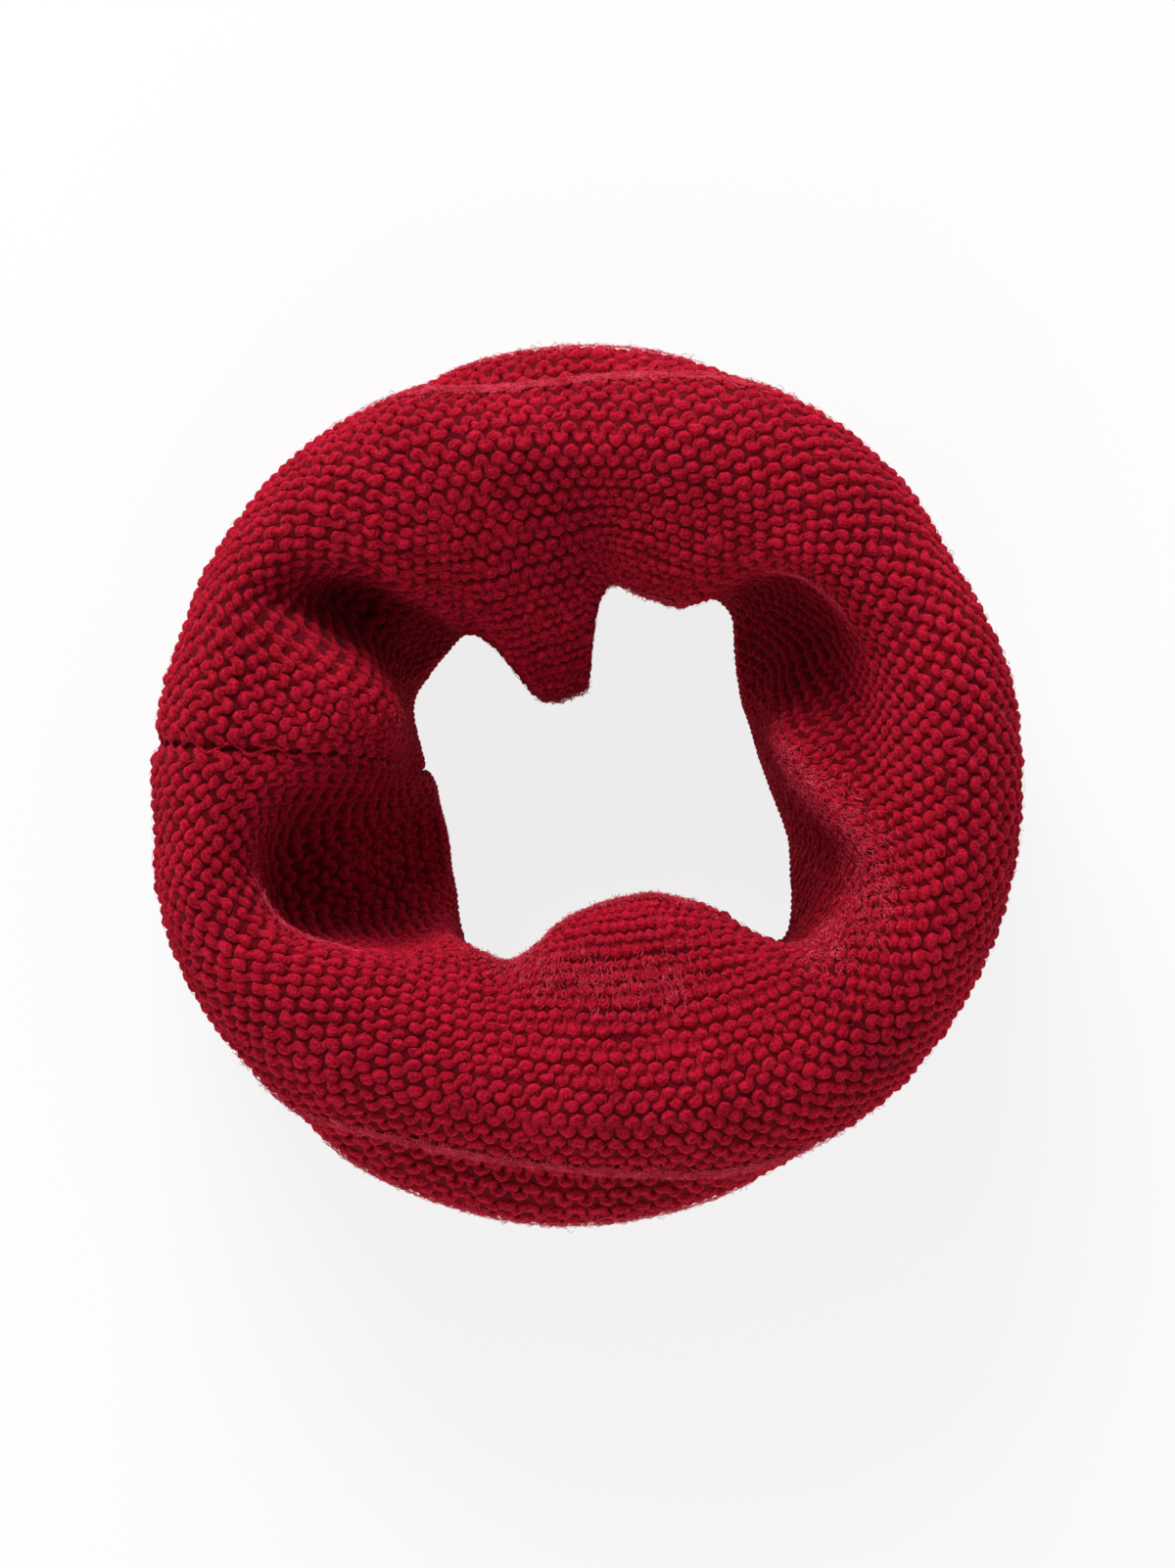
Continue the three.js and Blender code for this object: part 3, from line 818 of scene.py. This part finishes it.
def yarn_piece(name, strands, material, spans=6, arc=360):
    """One piece of many strands, each given by core points, directions and half thickness."""
    points, quads, paint, yarn, base = [], [], [], [], 0
    folds = int(math.ceil(int(math.ceil(math.sqrt(len(strands) * MAP_LANES))) / len(strands)))
    corner = np.array([[0, 0], [0.004, 0], [0.004, 0.004], [0, 0.004]])
    for strand, (core, normal, half) in enumerate(strands):
        points.append(tube(core, normal, half, spans, arc).reshape(-1, 3))
        caps = np.empty((0, 4), int)
        if arc == 360:
            caps = np.concatenate([cap_faces(spans, 0, False), cap_faces(spans, len(core) - 1, True)])
        quads.append(np.concatenate([tube_faces(len(core), spans, arc), caps]) + base)
        base += len(points[-1])
        strand_paint, strand_yarn = strand_maps(core, spans, arc, strand, folds, folds * len(strands))
        paint.append(np.concatenate([strand_paint, np.full((len(caps), 4, 2), MAP_CAPS) + corner]))
        yarn.append(np.concatenate([strand_yarn, np.zeros((len(caps), 4, 2))]))
    points, quads = np.concatenate(points), np.concatenate(quads)
    paint, yarn = np.concatenate(paint), np.concatenate(yarn)
    return mesh_piece(name, points, quads, paint=paint, yarn=yarn, material=material)


# The ridges of each piece, the tube's steps from a bead to the next and its faces across
RIDGE_PIECES = {
    "outer_ridges_low": (range(0, 9), 6, 5),
    "outer_ridges_high": (range(9, 17), 7, 6),
    "inner_ridges_high": (range(17, 27), 7, 6),
    "inner_ridges_low": (range(27, 37), 5, 5),
}


def ridge_strand(ridge, steps):
    """One ridge's yarn in millimetres, kept above the surface that the scarf stands on."""
    u, v, h, half = ridge_path(ridge, steps)
    core, normal = cloth_point(u, v, h)
    core[:, 2] = np.maximum(core[:, 2], half)
    return core, normal, half


ridges = [
    yarn_piece(name, [ridge_strand(ridge, steps) for ridge in which], yarn_wool, spans, TUBE_ARC)
    for name, (which, steps, spans) in RIDGE_PIECES.items()
]

# %% [markdown]
# ## The hems and the sewn join
#
# Each hem ends in a cast-off edge, a chain whose loops lie aslant one behind another. It could be one plain
# roll, but two strands that wind round each other give the slanting loops. At the join, one thinner strand
# of the same wool crosses from end to end and draws them together.


# %% Cast-off hems and the join's stitches
HEM_LIFT = 1.8  # middle of the chain above the surface
HEM_SINK = 1.3  # and behind the cloth's face
HEM_WIND = 0.75  # half the width of the strands' turns
HEM_HALF = 1.0
HEM_STEPS = 8  # steps to a stitch
JOIN_SWING, JOIN_HALF = 0.3, 0.55  # reach of the sewing in stitches, and half the strand's thickness
JOIN_HIGH, JOIN_DROP = -0.5, 0.5
JOIN_FLOOR = 0.6
JOIN_STEPS = 10  # steps to a ridge


def hem_chain(ridge):
    """Two strands that wind round each other along a hem, one turn a stitch."""
    strands = []
    for side in (0, 1):
        t = np.linspace(SEAM_END, STITCHES - SEAM_END, STITCHES * HEM_STEPS)
        wind = math.tau * t + math.pi * side
        core, normal = cloth_point(t, ridge, HEM_WIND * np.cos(wind) - HEM_SINK)
        core[:, 2] = HEM_LIFT + HEM_WIND * np.sin(wind)
        strands.append((core, normal, np.full(len(t), HEM_HALF)))
    return strands


def join_strand():
    """One strand that crosses the join from side to side, a stitch for every ridge."""
    t = np.linspace(0.3, RIDGES - 0.3, RIDGES * JOIN_STEPS)
    swing = np.cos(math.pi * t)
    core, normal = cloth_point(JOIN_SWING * swing, t, JOIN_HIGH - JOIN_DROP * swing**2)
    core[:, 2] = np.maximum(core[:, 2], JOIN_FLOOR)
    return core, normal, np.full(len(t), JOIN_HALF)


hems = yarn_piece("cast_off_hems", hem_chain(0.0) + hem_chain(float(RIDGES)), yarn_wool)
join = yarn_piece("join_stitches", [join_strand()], yarn_wool)

# %% [markdown]
# ## The halo of fibres
#
# Wool is never clean-edged: fibres stand off it all over and catch the light. Sheen alone can't be seen
# past the edge, and a hair system would be far too heavy, so thousands of single fibres are laid on as fine
# bent ribbons of two spans. A ribbon starts at a place on the cloth and wanders over it.

# %% Loose fibres
FIBRES = 12000  # all over the cloth
FIBRE_SPANS = 2
JOIN_MARGIN, HEM_MARGIN = 0.4, 0.3  # stitches and ridges kept free of roots
FIBRE_CURL = 0.9  # how much a fibre turns on its way, in radians
FIBRE_START = 0.15  # least height above the face
FIBRE_FLOOR = 0.2  # least height above the surface that the scarf stands on
ROOT_WIDTH, TIP_WIDTH = 1.2, 0.4  # a fibre's widths at its root and its tip, against its half width
FIBRE_LEAN = 0.5  # how unevenly the ribbons face
CELL_FILL = 0.9  # part of its cell of the map that a fibre fills
TOWARDS_SKY = np.array([0.0, 0.0, 1.0])
fibre_draw = np.random.default_rng(37)


def fibre_roots(count):
    """Places spread evenly over the cloth, in stitches and ridges."""
    u = fibre_draw.uniform(JOIN_MARGIN, STITCHES - JOIN_MARGIN, count)
    return u, fibre_draw.uniform(HEM_MARGIN, RIDGES - HEM_MARGIN, count)


def fibre_cores(u, v, lengths, rise):
    """Core points of fibres that wander over the cloth, and the directions out of the cloth there."""
    count = len(u)
    heading = fibre_draw.uniform(0, math.tau, count)
    length = fibre_draw.uniform(*lengths, count)
    lift = fibre_draw.gamma(2.0, rise, count)
    bend = fibre_draw.normal(0, FIBRE_CURL, count)
    t = np.linspace(0, 1, FIBRE_SPANS + 1)[None, :]
    turned = heading[:, None] + bend[:, None] * t
    stride = (length / FIBRE_SPANS)[:, None] * np.ones_like(t)
    along_u = u[:, None] + np.cumsum(np.cos(turned) * stride, 1) / pitch
    along_v = v[:, None] + np.cumsum(np.sin(turned) * stride, 1) / RIDGE_PITCH
    height = FIBRE_START + lift[:, None] * np.sin(math.pi * (0.15 + 0.6 * t))
    core, normal = cloth_point(along_u, np.clip(along_v, 0.1, RIDGES - 0.1), height)
    core[..., 2] = np.maximum(core[..., 2], FIBRE_FLOOR)
    return core, normal


def fibre_map(count):
    """Corners of the fibres' faces in the map, a small cell for each fibre."""
    grid = int(math.ceil(math.sqrt(count)))
    cell, span = np.arange(count)[:, None], np.arange(FIBRE_SPANS)[None, :]
    wide, tall = CELL_FILL / grid, CELL_FILL / FIBRE_SPANS / grid
    x, y = (cell % grid) / grid + 0 * span, (cell // grid) / grid + span * tall
    return np.stack([x, y, x + wide, y, x + wide, y + tall, x, y + tall], -1).reshape(-1, 4, 2)


def fibre_piece(name, roots, lengths, half, rise, upward, material):
    """A piece of fibres from their roots. The share upward turns the ribbons' faces towards the sky."""
    core, normal = fibre_cores(*roots, lengths, rise)
    count = len(core)
    along = unit(np.gradient(core, axis=1))
    facing = (1 - upward) * normal + upward * TOWARDS_SKY
    side = unit(np.cross(along, facing + FIBRE_LEAN * fibre_draw.normal(0, 1, (count, 1, 3))))
    taper = half * np.linspace(ROOT_WIDTH, TIP_WIDTH, FIBRE_SPANS + 1)[None, :, None]
    rails = np.stack([core - side * taper, core + side * taper], 2).reshape(-1, 3)
    start = (np.arange(count) * (FIBRE_SPANS + 1) * 2)[:, None] + np.arange(FIBRE_SPANS)[None, :] * 2
    quads = np.stack([start, start + 1, start + 3, start + 2], -1).reshape(-1, 4)
    return mesh_piece(name, rails, quads, paint=fibre_map(count), material=material)


def fibre_material(name, dull, bright):
    """Wool too fine to show a twist: two shades of crimson in small patches."""
    material, board, shader = clean_material(name)
    here = board.node("ShaderNodeTexCoord").outputs["Object"]
    tone = wire(board.node("ShaderNodeTexNoise", Vector=here, Scale=300.0))
    ramp = board.node("ShaderNodeValToRGB", {"stops": [(0.3, dull), (0.7, bright)]}, Fac=tone)
    feed(board.nodes, shader.inputs["Base Color"], ramp.outputs[0])
    set_constants(shader, {"Roughness": 0.8, "Specular IOR Level": 0.1})
    return material


loose_wool = fibre_material("crimson_fibre", CRIMSON, (0.62, 0.035, 0.075))
halo = fibre_piece("fibre_halo", fibre_roots(FIBRES), (1.0, 3.2), 0.03, 0.08, 0.3, loose_wool)

# %% [markdown]
# ## Fuzz on the folds
#
# Where the cloth turns over its fibres stand out thickest, in a pale line along each slouched roll and soft
# pale crests beside the neck opening. The paleness is partly painted highlight: these fibres are coloured
# paler than the yarn. Painting the lines on would look flat from the side. So more fibres grow there: a
# root is kept with a chance that is high where the cloth bends and stands nearly upright, and near the
# crests, whose lines are given in plan.

# %% Fibres along the folds
FOLD_FIBRES = 34000
UPRIGHT, UPRIGHT_SPREAD = 0.1, 0.16  # upward share of the cloth's direction where the fuzz is thickest
FUZZ_FROM, FUZZ_FADE = 30, 20  # level at which it begins, and the height over which it grows
BEND_FROM, BEND_FADE = 0.3, 0.3  # turn of the cloth over two ridges, in radians
FULL_SLOUCH = 3
WALL_FUZZ, INNER_FUZZ = 0.04, 0.35  # chances outside where nothing slouches, and inside
FUZZ_HIGHLIGHT_CRESTS = [
    [(-22, -35), (-13, -41), (-2, -43), (9, -45), (20, -44)],
    [(34, 24), (41, 13), (46, 4), (52, -2), (59, -9), (63, -18), (64, -24), (61, -31), (52, -37)],
]  # crests beside the neck opening where fuzz grows thick with a painted highlight, as points in plan
FUZZ_HIGHLIGHT_HALF = 4.5  # half the width of such a crest
FUZZ_HIGHLIGHT_SHARE = 0.05
FUZZ_HIGHLIGHT_FROM = 60  # level


def line_distance(where, line):
    """How far places are in plan from a line of points."""
    nearest = np.full(len(where), np.inf)
    for start, end in zip(np.array(line[:-1], float), np.array(line[1:], float)):
        to_place, to_end = where[:, :2] - start, end - start
        share = np.clip(to_place @ to_end / (to_end @ to_end), 0, 1)
        nearest = np.minimum(nearest, np.linalg.norm(to_place - share[:, None] * to_end, axis=1))
    return nearest


def fuzz_chance(u, v):
    """How likely a fibre grows at places on the cloth."""
    where, normal = cloth_point(u, v, 0)
    before, normal_before = cloth_point(u, np.maximum(v - 1, 0), 0)
    after, normal_after = cloth_point(u, np.minimum(v + 1, RIDGES), 0)
    bend = ((normal_after - normal_before) * unit(after - before)).sum(-1)
    upright = np.exp(-(((normal[:, 2] - UPRIGHT) / UPRIGHT_SPREAD) ** 2))
    high = np.clip((where[:, 2] - FUZZ_FROM) / FUZZ_FADE, 0, 1)
    at = JOIN_AT + 360 * u / STITCHES
    slouch = np.clip((outside["reach"](at) - outside["roll"](at)) / FULL_SLOUCH, 0, 1)
    folded = np.where(v < RIDGES_OUT, WALL_FUZZ + (1 - WALL_FUZZ) * slouch, INNER_FUZZ)
    folded = folded * upright * high * np.clip((bend - BEND_FROM) / BEND_FADE, 0, 1)
    nearest = np.minimum(*(line_distance(where, line) for line in FUZZ_HIGHLIGHT_CRESTS))
    fuzz_highlight = np.exp(-((nearest / FUZZ_HIGHLIGHT_HALF) ** 2)) * (where[:, 2] > FUZZ_HIGHLIGHT_FROM)
    return folded + FUZZ_HIGHLIGHT_SHARE * fuzz_highlight


def fold_roots(count):
    """Places drawn all over the cloth and kept by their chance, until there are enough."""
    found_u, found_v = [], []
    while sum(map(len, found_u)) < count:
        u, v = fibre_roots(4 * count)
        wanted = fuzz_chance(u, v)
        taken = fibre_draw.uniform(0, 1, len(u)) < wanted
        found_u.append(u[taken])
        found_v.append(v[taken])
    return np.concatenate(found_u)[:count], np.concatenate(found_v)[:count]


# The fold fuzz is painted paler than the yarn: a painted highlight for the light caught along the rolls and
# crests
fold_highlight_wool = fibre_material("crimson_fuzz_painted_highlight", CRIMSON_LIT, (0.7, 0.06, 0.11))
fuzz = fibre_piece("fold_fuzz", fold_roots(FOLD_FIBRES), (0.8, 2.2), 0.065, 0.16, 0.8, fold_highlight_wool)

# %% [markdown]
# ## Floor, light and camera
#
# The scarf lies on a plain white floor in a studio, lit softly from the back, with a low weak lamp in front
# for the cloth under the roll. The camera looks straight down from 1.5 m. The floor must come out evenly
# white with only a faint shadow, as on a lit table, so most of its white is its own light. The colours are
# shown as they are, without the filmic curve that Blender puts on by default.

# %% Floor
FLOOR_HALF = 3.0
FLOOR_SHADER = {
    "Base Color": (0.16, 0.16, 0.16, 1.0),
    "Roughness": 0.9,
    "Specular IOR Level": 0.0,
    "Emission Color": (1.0, 1.0, 1.0, 1.0),
    "Emission Strength": 0.82,
}
floor_mesh = bpy.data.meshes.new("floor")
floor_corners = [(x * FLOOR_HALF, y * FLOOR_HALF, 0) for x, y in ((-1, -1), (1, -1), (1, 1), (-1, 1))]
floor_mesh.from_pydata(floor_corners, [], [(0, 1, 2, 3)])
floor = bpy.data.objects.new("floor", floor_mesh)
bpy.context.scene.collection.objects.link(floor)
floor_paper, _, paper_shader = clean_material("white_floor")
set_constants(paper_shader, FLOOR_SHADER)
floor_mesh.materials.append(floor_paper)
print("floor, m:", 2 * FLOOR_HALF)

# %% Light
world = bpy.data.worlds.new("studio")
bpy.context.scene.world = world
world.use_nodes = True
set_constants(world.node_tree.nodes["Background"], {"Color": (1.0, 1.0, 1.0, 1.0), "Strength": 0.45})


def soft_light(name, where, size, watts):
    """A square lamp that looks at the scarf from a place in metres."""
    lamp = bpy.data.lights.new(name, "AREA")
    lamp.size, lamp.energy = size, watts
    holder = bpy.data.objects.new(name, lamp)
    bpy.context.scene.collection.objects.link(holder)
    holder.location = where
    away = np.array(where, float)
    flat = math.hypot(away[0], away[1])
    holder.rotation_euler = (0, math.atan2(flat, away[2]), math.atan2(away[1], away[0]))
    print(name, "at", where)


soft_light("window_light", (-0.5, 1.9, 1.2), 1.4, 62.0)
soft_light("front_fill", (-0.3, -2.0, 0.4), 1.4, 20.0)

# %% Camera
CAMERA_HEIGHT = 1.5
PIXEL = 0.22  # millimetres for a pixel of the 1200 by 1601 frame, at the height below
PIXEL_LEVEL = 60
FRAME_TALL = 1601
SENSOR = 36.0
camera_data = bpy.data.cameras.new("camera")
camera = bpy.data.objects.new("camera", camera_data)
bpy.context.scene.collection.objects.link(camera)
bpy.context.scene.camera = camera
camera_data.sensor_width = SENSOR
camera_data.lens = SENSOR * (CAMERA_HEIGHT - PIXEL_LEVEL * MM) / (FRAME_TALL * PIXEL * MM)
camera.location = (shift[0] * MM, shift[1] * MM, CAMERA_HEIGHT)
camera.rotation_euler = (0, 0, 0)
bpy.context.scene.view_settings.view_transform = "Standard"
print("lens, mm:", round(camera_data.lens, 1))
